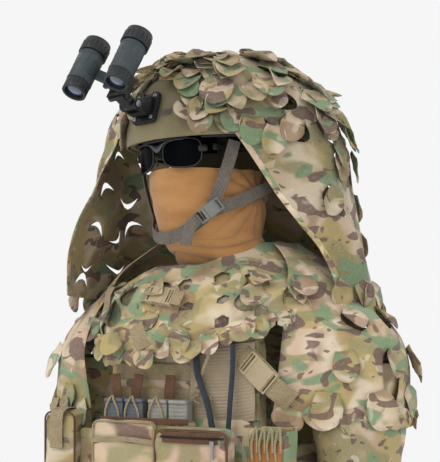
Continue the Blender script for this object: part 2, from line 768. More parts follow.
hood_cloth = cut_sheet("hood_cloth", hood, 120, 70, M["hood"], 0.0009, span=(1.0, 0.6))
hood_leaves = hood.tabs.build("hood_leaves", M["hood_leaf"])


def edge_binding(name, surface, u, v0=0.3, v1=0.99, width=0.011, count=60):
    path, across = [], []
    for k in range(count):
        v = mix(v0, v1, k / (count - 1))
        inward = surface.frame(u, v)[1].normalized() * (-1 if u > 0.5 else 1)
        path.append(surface.at(u, v) + inward * width * 0.3)
        across.append(inward)
    piece = ribbon(name, path, across, width, 0.0028, M["binding"])
    set_shift(piece, [(0.3, 0.7, 0.1)] * len(piece.data.vertices))
    return piece


M["binding"] = camo("camo_binding", 0.8, dirt=0.05, shade=1.12)
hood_binding = edge_binding("hood_binding", hood, 0.997)
hood_binding_far = edge_binding("hood_binding_far", hood, 0.003)
for piece in (hood_cloth, hood_leaves, hood_binding, hood_binding_far):
    place(piece, nodes=("hood",))


# ---------------------------------------------------------------- cape

def cape_folds(u, v, p):
    ripple = wobble(p, 7, 5.5) * 6 + wobble(p, 19, 1.2) * 2.5
    hang = 6 * math.sin(u * 30 + 2 * wobble(p, 4, 9.1)) * smooth((v - 0.45) * 2.2)
    return (max(-5.0, ripple) * smooth(v * 6) + hang) * MM


cape = Surface(cape_base, cape_folds, False, 11)
for j, v in enumerate(row_points(cape, 0.058, 0.0, 0.93)):
    for u in row_points(cape, 0.082, 0.0, 1.0, u=v, along="u"):
        u = u - (0.03 if j % 2 else 0.0) + draw(-0.006, 0.006)
        if not 0.02 < u < 0.985 or rng.random() < 0.18:
            continue
        lift = tilt(2, 14)
        size = draw(0.9, 1.25)
        tab_on(cape, u, v, tilt(-40, 40), 0.044 * size, 0.050 * size, lift, lift * draw(-0.2, 1.0),
               rng.choice(["tongue", "tongue", "leaf"]), True, 1.0, draw(0.05, 0.35))
for k in range(CAPE_FRINGE):
    lift = tilt(0, 22)
    tab_on(cape, mix(0.02, 0.98, k / (CAPE_FRINGE - 1)), 0.965, tilt(-28, 28), 0.05, draw(0.03, 0.042), lift,
           lift * draw(-0.5, 1), rng.choice(["tongue", "tongue", "leaf"]), False, 0.5, 0.15)
cape_cloth = cut_sheet("cape_cloth", cape, 130, 46, M["cape"], 0.001, (1.7, 0.4, 0.9), (1.0, 0.25))
cape_leaves = cape.tabs.build("cape_leaves", M["cape"])
for piece in (cape_cloth, cape_leaves):
    place(piece, nodes=("cape",))


# ---------------------------------------------------------------- yoke

def yoke_folds(u, v, p):
    swell = wobble(p, 10, 2.9) * 7 + wobble(p, 27, 6.4) * 3
    roll = 5 * math.sin(v * 15 + u * 6 + 2 * wobble(p, 6, 4.4))
    return (max(-3.0, swell) + roll * smooth(v * 4) * 0.7) * MM


yoke = Surface(yoke_base, yoke_folds, True, 23)


def six_sided_hole(surface, u, v, size, turn, stretch=0.8, corners=6):
    _, pu, pv, _ = surface.frame(u, v)
    out = []
    for k in range(corners):
        a = turn + TAU * k / corners
        out.append((u + size * math.cos(a) / pu.length, v + size * stretch * math.sin(a) / pv.length))
    return out


for j, v in enumerate(row_points(yoke, 0.040, 0.02, 0.98)):
    for i, u in enumerate(row_points(yoke, 0.058, 0.0, 1.0, u=v, along="u")):
        u = u - (0.055 if j % 2 else 0.02) + draw(-0.006, 0.006)
        if not 0.05 < u < 0.95:
            continue
        kind = (i * 2 + j * 3) % 5
        if kind in (0, 3) and 0.1 < v < 0.93:
            hole = six_sided_hole(yoke, u, v, draw(0.011, 0.015), draw(0, 1))
            if within(hole, 0.01):
                yoke.holes.append(hole)
            continue
        if kind == 4 and rng.random() < 0.5:
            continue
        lift = tilt(8, 34)
        tab_on(yoke, u, v, tilt(-70, 70), draw(0.03, 0.042), draw(0.032, 0.046), lift, lift * draw(-0.3, 1.3),
               rng.choice(["tongue", "leaf", "leaf", "wavy"]), True, 1.0, draw(0.1, 0.5))
for k in range(YOKE_FRINGE):
    lift = tilt(0, 40)
    along = mix(0.06, 0.94, k / (YOKE_FRINGE - 1))
    tab_on(yoke, along, draw(0.9, 0.96), tilt(-45, 45), draw(0.032, 0.046), draw(0.026, 0.036),
           lift, lift * draw(-0.4, 1.2), rng.choice(["tongue", "leaf", "wavy"]), False, 1.0, 0.3)
yoke_cloth = cut_sheet("yoke_cloth", yoke, 96, 40, M["yoke"], 0.0012, (0.2, 1.9, 0.4), (1.0, 0.3))
yoke_leaves = yoke.tabs.build("yoke_leaves", M["yoke"])
under = Surface(yoke_base, lambda u, v, p: yoke_folds(u, v, p) * 0.6 - 4.5 * MM, True)
yoke_lining = cut_sheet("yoke_lining", under, 60, 22, M["yoke_under"], 0.0008, (2.4, 0.3, 1.6), (1.0, 0.3))
for piece in (yoke_cloth, yoke_leaves, yoke_lining):
    place(piece, nodes=("yoke",))


# ---------------------------------------------------------------- sleeves

def tube_sheet(name, base, nu, nv, folds, material, thickness, shift=None):
    """A closed ring of cloth, u around and v down."""
    verts = []
    for j in range(nv + 1):
        for i in range(nu):
            u, v, d = i / nu, j / nv, 0.002
            p = base(u, v)
            side = base((u + d) % 1, v) - base((u - d) % 1, v)
            fall = base(u, clamp(v + d)) - base(u, clamp(v - d))
            n = side.cross(fall).normalized()
            verts.append(p + n * folds(u, v, p))
    obj = make_object(name, verts, grid_faces(nu, nv, closed=True), material)
    if shift is not None:
        set_shift(obj, [shift] * len(verts))
    return solidify(obj, thickness, 0.0)


def sleeve_base(side):
    cx, cy = SLEEVE_CENTRE[side]

    def at(u, v):
        z, a, b = rows_at(SLEEVE, v)
        ang = TAU * u
        return Vector((cx + (a - 2) * math.sin(ang), cy + (b - 2) * math.cos(ang), z)) * MM
    return at


def sleeve_folds(u, v, p):
    drag = math.sin(v * 16 + 5 * u + 4 * wobble(p, 5, 7.7))
    crease = wobble(p, 11, 2.2) * 4 + wobble(p, 26, 5.1) * 1.6
    return (3.5 * drag * smooth(v * 3) + crease) * MM


for side, sleeve_shift in (("left", (2.6, 0.2, 1.1)), ("right", (0.9, 1.4, 2.0))):
    sleeve = tube_sheet("sleeve_cloth_" + side, sleeve_base(side), 90, 76, sleeve_folds, M["sleeve"], 0.0014,
                        sleeve_shift)
    place(sleeve, nodes=("sleeve_" + side,))


# ---------------------------------------------------------------- helmet cover

def rim_height(a):
    s = smooth((abs(math.degrees(a)) - 60) / 100)
    return mix(BRIM_Z, NAPE_Z, s)


def cover_base(u, v):
    a = TAU * (u - 0.5)
    c = HELMET_H + COVER_GAP
    low = rim_height(a) - 2
    end = math.acos(clamp((low - HELMET_Z) / c, -1, 1))
    p = mix(0.03, end, v)
    r = math.sin(p) if p < math.pi / 2 else 1.0
    return in_head((HELMET_W + COVER_GAP) * r * math.sin(a), -(HELMET_L + COVER_GAP) * r * math.cos(a),
                   HELMET_Z + c * math.cos(p))


def cover_folds(u, v, p):
    return (0.9 * wobble(p, 24, 3.3) + 0.5 * wobble(p, 60, 1.4)) * MM


cover = Surface(cover_base, cover_folds, True, 31)
helmet_cover = tube_sheet("cover_cloth", cover_base, 96, 34, cover_folds, M["cover"], 0.0016)
# The right tube comes here when it is flipped up and swung out, so leaves are left out or stay flat.
PARKED_EYEPIECE = Vector((-0.09, -0.195, 0.22))
NO_LEAF_WITHIN, FLAT_WITHIN = 0.06, 0.11


def lowest_leaf(from_front):
    """How far down the cover leaves reach, by the angle from the front in degrees."""
    if abs(from_front) < 15:
        return 0.33
    return mix(0.52, 0.97, smooth((from_front - 18) / 20)) if from_front > 0 else 0.9


for j, v in enumerate((0.08, 0.16, 0.24, 0.32, 0.4, 0.48, 0.56, 0.65, 0.74, 0.83)):
    count = round(9 + 22 * math.sin(v * math.pi / 2))
    for i in range(count):
        u = (i + (0.5 if j % 2 else 0) + draw(-0.2, 0.2)) / count % 1
        from_front = math.degrees(TAU * (u - 0.5))
        if v > lowest_leaf(from_front) or from_front < -17 and v > 0.3 and rng.random() < 0.4:
            continue
        lift = tilt(4, 26) if v < 0.3 else tilt(10, 48)
        parked = (cover.frame(u, v)[0] - PARKED_EYEPIECE).length
        if parked < NO_LEAF_WITHIN:
            continue
        if parked < FLAT_WITHIN:
            lift = math.radians(3)
        tab_on(cover, u, v, tilt(-50, 50), draw(0.030, 0.044), draw(0.036, 0.052), lift,
               lift * draw(-0.4, 0.9), rng.choice(["tongue", "tongue", "leaf"]), False, 1.5, draw(0.05, 0.5))
cover_leaves = cover.tabs.build("cover_leaves", M["hood_leaf"])
tag_at = [cover.frame(mix(0.532, 0.556, k / 6), 0.81) for k in range(7)]
cover_tag = ribbon("cover_tag", [p + n * 1.8 * MM for p, _, _, n in tag_at], [pv for _, _, pv, _ in tag_at],
                   0.009, 0.0012, M["strap"])
place(cover_tag)
for piece in (helmet_cover, cover_leaves):
    place(piece, nodes=("helmet_cover",))


# ---------------------------------------------------------------- gaiter

def gaiter_base(u, v):
    z, cy, a, f, b = rows_at(GAITER, v)
    ang = TAU * u
    s, c = math.sin(ang), math.cos(ang)
    rise = 7 * max(0.0, -c) ** 2 * (1 - v) ** 3
    return in_head((a - 1) * s, cy + ((b if c > 0 else f) - 1) * c, z + rise)


def gaiter_folds(u, v, p):
    """Outward folds: tucks fanned out from where the cloth is gathered at each side, and a bunched foot."""
    across, down = (0.27 - abs(u - 0.5)) * 560, (v - 0.28) * 190
    reach = math.hypot(across, down)
    fan = math.atan2(down, across) * 5.5 + 1.7 * wobble(p, 13, 4.1)
    tuck = (0.8 - abs(math.sin(fan)) ** 0.45) * smooth(reach / 16) * (1 - 0.92 * smooth((reach - 50) / 70))
    cowl = 0.45 - abs(math.sin(v * 21 + 2.2 * math.sin(u * 13) + 1.4 * wobble(p, 9, 2.7))) ** 0.6
    return -(6.0 * tuck + 6.5 * cowl * smooth((v - 0.58) * 4) + wobble(p, 16, 6.6)) * MM


gaiter = tube_sheet("gaiter_knit", gaiter_base, 230, 140, gaiter_folds, M["gaiter"], 0.0016)
place(gaiter, nodes=("gaiter",))


# ---------------------------------------------------------------- hard pieces

def matrix(*steps):
    """Chains steps such as ("t", x, y, z) in mm and ("x", degrees)."""
    out = Matrix.Identity(4)
    for kind, *values in steps:
        if kind == "t":
            out = out @ Matrix.Translation(Vector(values) * MM)
        elif kind == "mirror":
            out = out @ Matrix.Scale(-1, 4, (1, 0, 0))
        else:
            out = out @ Matrix.Rotation(math.radians(values[0]), 4, kind.upper())
    return out


FLIP_Z, FLIP_FORWARD, FLIP_ANGLE = 266, 172, 126
POD_X, POD_Y, POD_DROP, POD_REACH, POD_SPLAY = 20, -20, 40, 40, 38
VIEWER = HEAD @ matrix(("t", 0, -FLIP_FORWARD, FLIP_Z), ("x", -FLIP_ANGLE))


def at_tube(side):
    hinge, splay = ("t", side * POD_X, POD_Y, -POD_DROP), ("y", -side * POD_SPLAY)
    return VIEWER @ matrix(hinge, splay, ("t", 0, -POD_Y, -POD_REACH), ("x", -90))


def bevelled(node, material, width=0.5, segments=2, smooth_angle=40):
    """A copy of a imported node's shape with softened edges, which stands for the node."""
    source = frame["nodes"][node]
    obj = linked(node + "_finished", source.data.copy())
    obj.data.materials.clear()
    obj.data.materials.append(material)
    bm = bmesh.new()
    bm.from_mesh(obj.data)
    bmesh.ops.remove_doubles(bm, verts=bm.verts, dist=0.00002)
    bmesh.ops.dissolve_limit(bm, angle_limit=0.02, verts=bm.verts, edges=bm.edges)
    bm.to_mesh(obj.data)
    bm.free()
    all_smooth(obj.data)
    bevel_edges(obj, width * MM, smooth_angle, segments)
    return place(obj, body_of(node), (node,))


def body_of(node):
    for body, nodes in frame["record"]["behaviour"]["bodies"].items():
        if node in nodes:
            return body
    return "root"


def lathe(name, profile, where, material, segments=64):
    """Turned part: the profile is a list of radius and height in mm about the z axis of where."""
    verts, faces, ring = [], [], []
    for r, z in profile:
        if r < 1e-6:
            ring.append([len(verts)])
            verts.append(where @ Vector((0, 0, z * MM)))
        else:
            ring.append(list(range(len(verts), len(verts) + segments)))
            for k in range(segments):
                a = TAU * k / segments
                verts.append(where @ (Vector((r * math.cos(a), r * math.sin(a), z)) * MM))
    for lo, hi in zip(ring, ring[1:]):
        for k in range(segments):
            j = (k + 1) % segments
            if len(lo) == 1:
                faces.append((lo[0], hi[k], hi[j]))
            elif len(hi) == 1:
                faces.append((lo[k], hi[0], lo[j]))
            else:
                faces.append((lo[k], hi[k], hi[j], lo[j]))
    obj = make_object(name, verts, faces, material)
    face_outwards(obj.data)
    bevel_edges(obj, 0.0004, 35)
    return obj


def tube_mesh(name, path, radius, material, sides=14, closed=False):
    """A round tube along the path; radius is in metres, or a function of the share along it."""
    verts = []
    n = len(path)
    up = Vector((0.13, 0.21, 0.97)).normalized()
    for k, p in enumerate(path):
        ahead = (path[(k + 1) % n] - path[k - 1]).normalized() if closed else ahead_of(path, k)
        side = ahead.cross(up)
        if side.length < 1e-3:
            side = ahead.cross(Vector((1, 0, 0)))
        side.normalize()
        up = side.cross(ahead).normalized()
        r = radius(k / (n - 1)) if callable(radius) else radius
        for j in range(sides):
            a = TAU * j / sides
            verts.append(p + (side * math.cos(a) + up * math.sin(a)) * r)
    spans = n if closed else n - 1
    faces = [tuple(i % (n * sides) for i in f) for f in grid_faces(sides, spans, closed=True)]
    if not closed:
        for first, flip in ((0, True), ((n - 1) * sides, False)):
            centre = len(verts)
            verts.append(path[0] if flip else path[-1])
            for j in range(sides):
                a, b = first + j, first + (j + 1) % sides
                faces.append((b, a, centre) if flip else (a, b, centre))
    return make_object(name, verts, faces, material)


# ---------------------------------------------------------------- head gear

bevelled("helmet_shell", M["shell"], 1.2, 2, 60)
pads = bevelled("helmet_pads", M["foam"], 3.5, 3, 30)
for node in ("nvg_shroud", "mount_base", "mount_arm", "mount_carriage", "nvg_bridge", "mount_lever"):
    bevelled(node, M["black"], 0.6)
bevelled("mount_flip_pin", M["steel"], 0.5)
for node in ("battery_cap", "power_knob", "retention_dial"):
    bevelled(node, M["plastic"], 0.5, smooth_angle=50)

SHROUD = HEAD @ matrix(("t", 0, -133.5, 262), ("x", -21))
SCREW = [(0, 1.2), (1.1, 1.2), (1.3, 2.2), (2.9, 2.0), (3.2, 1.2), (3.2, -0.3), (0, -0.3)]
for k, (x, z) in enumerate(((-17, -18), (17, -18), (-17, 18), (17, 18))):
    where = SHROUD @ matrix(("t", x, -7, z), ("x", 90))
    place(lathe("shroud_screw_%d" % k, SCREW, where, M["steel"], 24))

GRIP_RIBS = 10
BANDS = (("front_band", 19.9, -44.5, -40.5), ("middle_band", 19.8, -22, -15), ("rear_band", 19.9, 3.5, 7.2))
RIB_SECTION = ((19.05, -1.6), (19.95, -1.1), (19.95, 1.1), (19.05, 1.6))
FRONT_DOME = [(0, -68.2), (6, -67.9), (11, -67.2), (15, -66.2), (17, -65.2), (17, -62.2), (0, -62.2)]
REAR_DOME = [(0, 24.2), (5, 23.9), (10, 22.9), (14, 21.4), (15, 20.6), (15, 19.4), (0, 19.4)]
EYE_RIM = [(15.1, 24.4), (16, 26.8), (17.4, 26.8), (18.2, 25.2), (18.2, 24.2), (15.1, 24.2), (15.1, 24.4)]
BOX_FACES = ((3, 2, 1, 0), (4, 5, 6, 7), (0, 1, 5, 4), (1, 2, 6, 5), (2, 3, 7, 6), (3, 0, 4, 7))


def tube_details(side, hand):
    """Bands, grip ribs, rings and glass of one viewer tube."""
    where = at_tube(side)
    pod = "pod_" + hand
    bevelled("nvg_pod_" + hand, M["viewer"], 0.6)
    for name, r, z0, z1 in BANDS:
        profile = [(19.2, z0), (r, z0 + 0.3), (r, z1 - 0.3), (19.2, z1)]
        place(lathe("%s_%s" % (name, hand), profile, where, M["viewer"], 72), pod)
    for k in range(GRIP_RIBS):
        at_rib = where @ matrix(("z", 360 / GRIP_RIBS * k + 10))
        verts = [at_rib @ (Vector((r, y, z)) * MM) for z in (-39, -24) for r, y in RIB_SECTION]
        ridge = make_object("grip_rib_%s_%d" % (hand, k), verts, BOX_FACES, M["viewer"])
        bevel_edges(ridge, 0.0003)
        place(ridge, pod)
    bevelled("objective_ring_" + hand, M["plastic"], 0.6, smooth_angle=50)
    bevelled("eyepiece_ring_" + hand, M["plastic"], 0.5, smooth_angle=50)
    front = lathe("objective_glass_" + hand, FRONT_DOME, where, M["front_glass"])
    place(front, "focus_ring_" + hand, ("objective_lens_" + hand,))
    rear = lathe("eyepiece_glass_" + hand, REAR_DOME, where, M["eye_glass"])
    place(rear, "diopter_ring_" + hand, ("eyepiece_lens_" + hand,))
    rim = lathe("eyepiece_rim_" + hand, EYE_RIM, where, M["plastic"], 72)
    place(rim, "diopter_ring_" + hand)


tube_details(1, "left")
tube_details(-1, "right")


# ---------------------------------------------------------------- eyewear

EYE_Y, LENS_CURVE, LENS_H, LENS_Z, LENS_X, LENS_RISE = -118, 85, 46, 189, 41, 2.6


def wrapped(x, z, out=0.0):
    """A point on the wrapped lens surface, x across and z up from the lens centre, in mm."""
    a = x / LENS_CURVE
    r = LENS_CURVE + out
    return in_head(r * math.sin(a), EYE_Y + LENS_CURVE - r * math.cos(a), LENS_Z + z)


def squared(a, power):
    """Cosine and sine of a, pushed outwards into a rounded square."""
    c, s = math.cos(a), math.sin(a)
    return math.copysign(abs(c) ** power, c), math.copysign(abs(s) ** power, s)


def lens_loop(side, grow=0.0, count=72):
    """Shield-shaped outline: fuller and higher at the outside, tapering to the nose."""
    out = []
    for k in range(count):
        a = TAU * k / count
        across, up = squared(a, 0.62)
        x = (30.5 + grow) * across
        z = (LENS_H / 2 - 0.5 + grow) * up
        z *= 0.93 + 0.07 * x / 28
        x -= 4.0 * max(0.0, -math.sin(a)) * (1 if x > 0 else -0.6)
        out.append((side * (LENS_X + x), z + LENS_RISE))
    return out


LENS_RINGS = 8
for side, hand in ((1, "left"), (-1, "right")):
    loop = lens_loop(side, -0.6)
    cx = side * LENS_X
    verts = []
    for j in range(LENS_RINGS):
        t = 1 - j / LENS_RINGS
        verts += [wrapped(cx + (x - cx) * t, LENS_RISE + (z - LENS_RISE) * t) for x, z in loop]
    n, last = len(loop), len(verts) - len(loop)
    faces = grid_faces(n, LENS_RINGS - 1, closed=True)
    faces += [(last + k, last + (k + 1) % n, last + n) for k in range(n)]
    verts.append(wrapped(cx, LENS_RISE))
    lens = make_object("eyewear_glass_" + hand, verts, faces, M["dark_lens"])
    solidify(lens, 0.0018, 0.0)
    place(lens, nodes=("eyewear_lens_" + hand,))


def rim_section(points, width, depth, sides=12):
    """Rounded-rectangle section swept about a closed loop of wrapped x, z points."""
    verts = []
    n = len(points)
    section = [squared(TAU * j / sides, 0.6) for j in range(sides)]
    for k, (x, z) in enumerate(points):
        (x0, z0), (x1, z1) = points[k - 1], points[(k + 1) % n]
        size = math.hypot(x1 - x0, z1 - z0)
        ox, oz = (z1 - z0) / size, (x0 - x1) / size
        for p, q in section:
            verts.append(wrapped(x + ox * p * width / 2, z + oz * p * width / 2, q * depth / 2))
    return verts, [tuple(i % (n * sides) for i in f) for f in grid_faces(sides, n, closed=True)]


rim_verts, rim_faces = [], []
for side in (1, -1):
    verts, faces = rim_section(lens_loop(side, 0.6), 2.6, 4.0)
    rim_faces += [tuple(i + len(rim_verts) for i in face) for face in faces]
    rim_verts += verts
rims = make_object("eyewear_rims", rim_verts, rim_faces, M["dark_rim"])
subdivide = rims.modifiers.new("smooth", "SUBSURF")
subdivide.levels = subdivide.render_levels = 1
place(rims, nodes=("eyewear_frame",))


def plate(name, outline_xz, out, depth, material):
    """A smooth moulded plate on the wrapped surface, in mm."""
    n = len(outline_xz)
    cx = sum(x for x, _ in outline_xz) / n
    cz = sum(z for _, z in outline_xz) / n
    verts = []
    for o, shrink in ((out, 0.8), (out + depth * 0.3, 0.0), (out + depth * 0.8, 0.2), (out + depth, 1.0)):
        for x, z in outline_xz:
            d = math.hypot(x - cx, z - cz)
            verts.append(wrapped(x - (x - cx) / d * shrink, z - (z - cz) / d * shrink, o))
    faces = grid_faces(n, 3, closed=True) + [tuple(range(n))[::-1], tuple(range(3 * n, 4 * n))]
    return make_object(name, verts, faces, material)


def rounded(cx, cz, w, h, r, steps=5):
    out = []
    for sx, sz, a0 in ((1, 1, 0), (-1, 1, 90), (-1, -1, 180), (1, -1, 270)):
        for k in range(steps):
            a = math.radians(a0 + 90 * k / (steps - 1))
            out.append((cx + sx * (w / 2 - r) + r * math.cos(a), cz + sz * (h / 2 - r) + r * math.sin(a)))
    return out


BROW_POINTS = 60
brow = []
for edge, dip, power, ends in ((24.4, 7.2, 6, (-46, 46)), (22.6, 15.5, 12, (46, -46))):
    for k in range(BROW_POINTS):
        t = k / (BROW_POINTS - 1)
        brow.append((mix(*ends, t), edge - dip * math.cos(math.pi * (t - 0.5)) ** power))
bridge = plate("eyewear_bridge", brow, 0.6, 3.0, M["frame_grey"])
place(bridge, nodes=("eyewear_frame",))
UP = in_head(0, 0, 1) - in_head(0, 0, 0)
for side, hand in ((1, "left"), (-1, "right")):
    corner = plate("eyewear_corner_" + hand, rounded(side * 74, 8, 15, 11, 3), -2.2, 4.0, M["dark_rim"])
    place(corner)
    path = [in_head(side * x, y, LENS_Z + 8.5) for x, y in ((79, -80), (80.5, -74), (79.5, -66))]
    lug = ribbon("eyewear_lug_" + hand, spline(path, 10), [UP] * 10, 0.010, 0.003, M["dark_rim"])
    place(lug)
    nose = [wrapped(side * x, z, o) for x, z, o in ((9, 2, -1), (8, -5, -4), (10, -12, -6))]
    place(tube_mesh("nose_pad_" + hand, spline(nose, 14), 0.0016, M["plastic"], 10))
    bevelled("temple_" + hand, M["plastic"], 0.7)


# ---------------------------------------------------------------- chin strap

FRONT_WEB = [(97, -50, 206), (92, -60, 175), (84, -72, 140), (72, -86, 104)]
CHIN_WEB = [(64, -91, 92), (48, -101, 80), (26, -106, 71), (0, -103, 66)]
FAR_FRONT = [(-97, -50, 206), (-95, -52, 175), (-90, -50, 140), (-82, -49, 108)]
FAR_CHIN = [(-78, -53, 100), (-60, -76, 83), (-32, -95, 70), (0, -103, 66)]
FAR_REAR = [(-82, -49, 106), (-90, -26, 118), (-97, 4, 130), (-99, 34, 142)]
REAR_WEB = [(75, -83, 101), (84, -62, 108), (92, -32, 118), (97, 0, 130), (99, 34, 142)]
DIAL_WEB = [(97, 50, 148), (86, 76, 160), (68, 96, 172)]
LOOSE_END = [(62, -97, 92), (52, -106, 82), (45, -112, 66), (42, -113, 50)]
SIDE_LINK = [(-86, -47, 116), (-83, -50, 107), (-74, -59, 96)]


def strap(name, route, centre_z, width=19, t=2.2, count=36, lift=1.2, body="root", nodes=("chin_strap",)):
    """Webbing on the head along a route in mm, flat towards a point on the head's axis."""
    points = spline(route, count)
    path, across = [], []
    for k, p in enumerate(points):
        ahead = ahead_of(points, k)
        out = p - Vector((0, 0, centre_z))
        out = (out - ahead * out.dot(ahead)).normalized()
        path.append(in_head(*(p + out * lift)))
        across.append(HEAD.to_3x3() @ ahead.cross(out))
    piece = ribbon(name, path, across, width * MM, t * MM, M["strap"], 0.0006)
    return place(piece, body, nodes)


def mirrored(route):
    return [(-x, y, z) for x, y, z in route]


for hand, front, rear, dial, chin in (("left", FRONT_WEB, REAR_WEB, DIAL_WEB, CHIN_WEB),
                                      ("right", FAR_FRONT, FAR_REAR, mirrored(DIAL_WEB), FAR_CHIN)):
    strap("front_webbing_" + hand, front, 120)
    strap("rear_webbing_" + hand, rear, 120)
    strap("dial_webbing_" + hand, dial, 120)
    strap("chin_webbing_" + hand, chin, 90)
strap("side_link_webbing", SIDE_LINK, 100)
strap("loose_strap_end", LOOSE_END, 90, 19, 1.8, 24, 3.4, "chin_tongue", ())
for half in ("female", "male"):
    bevelled("chin_buckle_" + half, M["grey_buckle"], 0.7)


# ---------------------------------------------------------------- carrier and pouches

def pouch(name, box, material, round_n=7.0, crown=8.0, slump=0.0, wrinkle=1.6, seed=1.0, cells=34,
          back_flat=True, open_top=False, bulges=(), nodes=()):
    """A filled cloth pouch: a rounded box that swells in front, creases and sags; box is in mm."""
    x0, x1, y0, y1, z0, z1 = box
    centre = Vector((x0 + x1, y0 + y1, z0 + z1)) / 2
    half = Vector((x1 - x0, y1 - y0, z1 - z0)) / 2
    bm = bmesh.new()
    bmesh.ops.create_cube(bm, size=2)
    bmesh.ops.subdivide_edges(bm, edges=bm.edges, cuts=cells - 1, use_grid_fill=True)
    for v in bm.verts:
        p = v.co.copy()
        total = sum(abs(c) ** round_n for c in (p.x, p.z)) ** (1 / round_n)
        p.x /= max(total, 1.0) ** 0.9
        p.z /= max(total, 1.0) ** 0.9
        edge = max(abs(p.x), abs(p.z))
        rim = 1 - (max(0.0, edge - 0.86) / 0.14) ** 2 * min(0.4, 7 / max(half.y, 1) * 0.5)
        q = Vector((p.x * half.x, p.y * rim * half.y, p.z * half.z)) + centre
        if p.y < 0:
            swell = (1 - p.x ** 2) * (1 - p.z ** 2)
            q.y += crown * (1 - swell ** 0.55) * abs(p.y) * 0.8
            for bx, bw, depth in bulges:
                high = 0.3 + 0.7 * smooth((p.z + 1) / 2 + 0.3)
                q.y -= depth * math.exp(-((q.x - bx) / bw) ** 2) * high * abs(p.y)
        w = Vector((q.x * 0.030, q.y * 0.03, q.z * 0.022))
        crease = noise.noise(w + Vector((seed, 0, 0))) * wrinkle * 1.3
        crease += noise.noise(w * 2.7 + Vector((0, seed, 0))) * wrinkle * 0.6
        sag = math.sin(q.z * 0.11 + 3 * noise.noise(w * 1.4) + seed) * wrinkle * 0.35
        inward = Vector((-p.x if abs(p.x) > 0.9 else 0, 1 if p.y < 0 else 0, -p.z * 0.5 if p.z > 0.85 else 0))
        q += inward * (crease + sag + wrinkle)
        if slump and p.z > 0:
            q.z -= slump * p.z * (1 - p.x * p.x * 0.3) * smooth(0.5 - p.y / 2)
        if back_flat and p.y > 0:
            q.y = min(q.y, y1)
        v.co = q * MM
    if open_top:
        top = [f for f in bm.faces if f.normal.z > 0.7 and f.calc_center_median().z > (z1 - 12) * MM]
        bmesh.ops.delete(bm, geom=top, context="FACES")
    mesh = bpy.data.meshes.new(name)
    bmesh.ops.recalc_face_normals(bm, faces=bm.faces)
    bm.to_mesh(mesh)
    bm.free()
    all_smooth(mesh)
    mesh.materials.append(material)
    obj = linked(name, mesh)
    set_shift(obj, [(seed * 0.37, seed * 0.11, seed * 0.23)] * len(mesh.vertices))
    if open_top:
        solidify(obj, 0.0024, -1)
    place(obj, nodes=nodes)
    return obj


UPRIGHT = Vector((0, 0, 1))


def cord(name, path, radius_mm, material, sides=10, nodes=(), closed=False):
    return place(tube_mesh(name, path, radius_mm * MM, material, sides, closed), nodes=nodes)


def piping(name, box, corner, y, material, radius_mm=1.5):
    """A cord round a rounded outline in the x, z plane at depth y; box is x0, x1, z0, z1 in mm."""
    x0, x1, z0, z1 = box
    outline = rounded((x0 + x1) / 2, (z0 + z1) / 2, x1 - x0, z1 - z0, corner, 8)
    corners = [Vector((x, y, z)) * MM for x, z in outline]
    path = []
    for a, b in zip(corners, corners[1:] + corners[:1]):
        steps = max(1, int((b - a).length / 0.008))
        path += [a.lerp(b, k / steps) for k in range(steps)]
    cord(name, path, radius_mm, material, closed=True)


def flat_strap(name, points, width, material="tan_web", face=(0, -1, 0), t=1.8,
               count=28, nodes=()):
    """A strap along points in mm that lies facing the given direction."""
    path = mm_path(points, count)
    across = [ahead_of(path, k).cross(Vector(face)) for k in range(count)]
    place(ribbon(name, path, across, width * MM, t * MM, M[material], 0.0003), nodes=nodes)


def stitches(name, points, material="brown_web", pitch=4.0, length=2.6, radius=0.35):
    """A row of thread stitches along points in mm."""
    count = max(2, int(sum((Vector(b) - Vector(a)).length for a, b in zip(points, points[1:])) / pitch))
    line = spline(points, count + 1)
    verts, faces = [], []
    for a, b in zip(line, line[1:]):
        d = (b - a).normalized()
        s, u = d.cross(Vector((0, 1, 0))).normalized() * radius, Vector((0, -radius, 0))
        e = a + d * length
        first = len(verts)
        for p, g in ((a, 0.3), (a.lerp(e, 0.5), 1.0), (e, 0.3)):
            verts += [(p + s * g + u * 0.2) * MM, (p + u * (0.3 + g)) * MM, (p - s * g + u * 0.2) * MM]
        faces += [tuple(first + i for i in f) for f in grid_faces(2, 2)]
    place(make_object(name, verts, faces, M[material]))


for end, y0, y1, seed in (("front", -152, -120, 2.0), ("back", 100, 132, 5.0)):
    pouch(end + "_bag_cloth", (-132, 132, y0, y1, -400, -66), M["carrier"], 9, 3, 0, 1.2, seed, 44,
          back_flat=end == "front", nodes=(end + "_plate_bag",))
for node in ("front_plate", "back_plate"):
    bevelled(node, M["armour"], 2.0)


# ---------------------------------------------------------------- magazines

MAG_X = (-103.5, -67.5, -24.5, 11.5)
pouch("placard_cloth", (-136, 128, -160, -152.2, -398, -204), M["carrier"], 10, 1, 0, 0.5, 8.0, 34,
      nodes=("placard_panel",))
pouch("magazine_pocket_cloth", (-124, 34, -190, -160.5, -394, -208), M["pouch"], 14, 2, 0, 0.8, 11.0, 48,
      open_top=True, bulges=[(x, 13, 1.5) for x in MAG_X], nodes=("magazine_pocket",))
for k, x in enumerate((-85.5, -46, -6.5)):
    stitches("pocket_seam_%d" % k, [(x, -190.6, -214), (x, -190.8, -300), (x, -190.6, -388)])
POCKET_EDGE = [(-124, -190.2, -211), (-60, -191.5, -211.5), (0, -191.5, -211), (34, -190.2, -211)]
flat_strap("pocket_edge", POCKET_EDGE, 9, "brown_web", count=40)


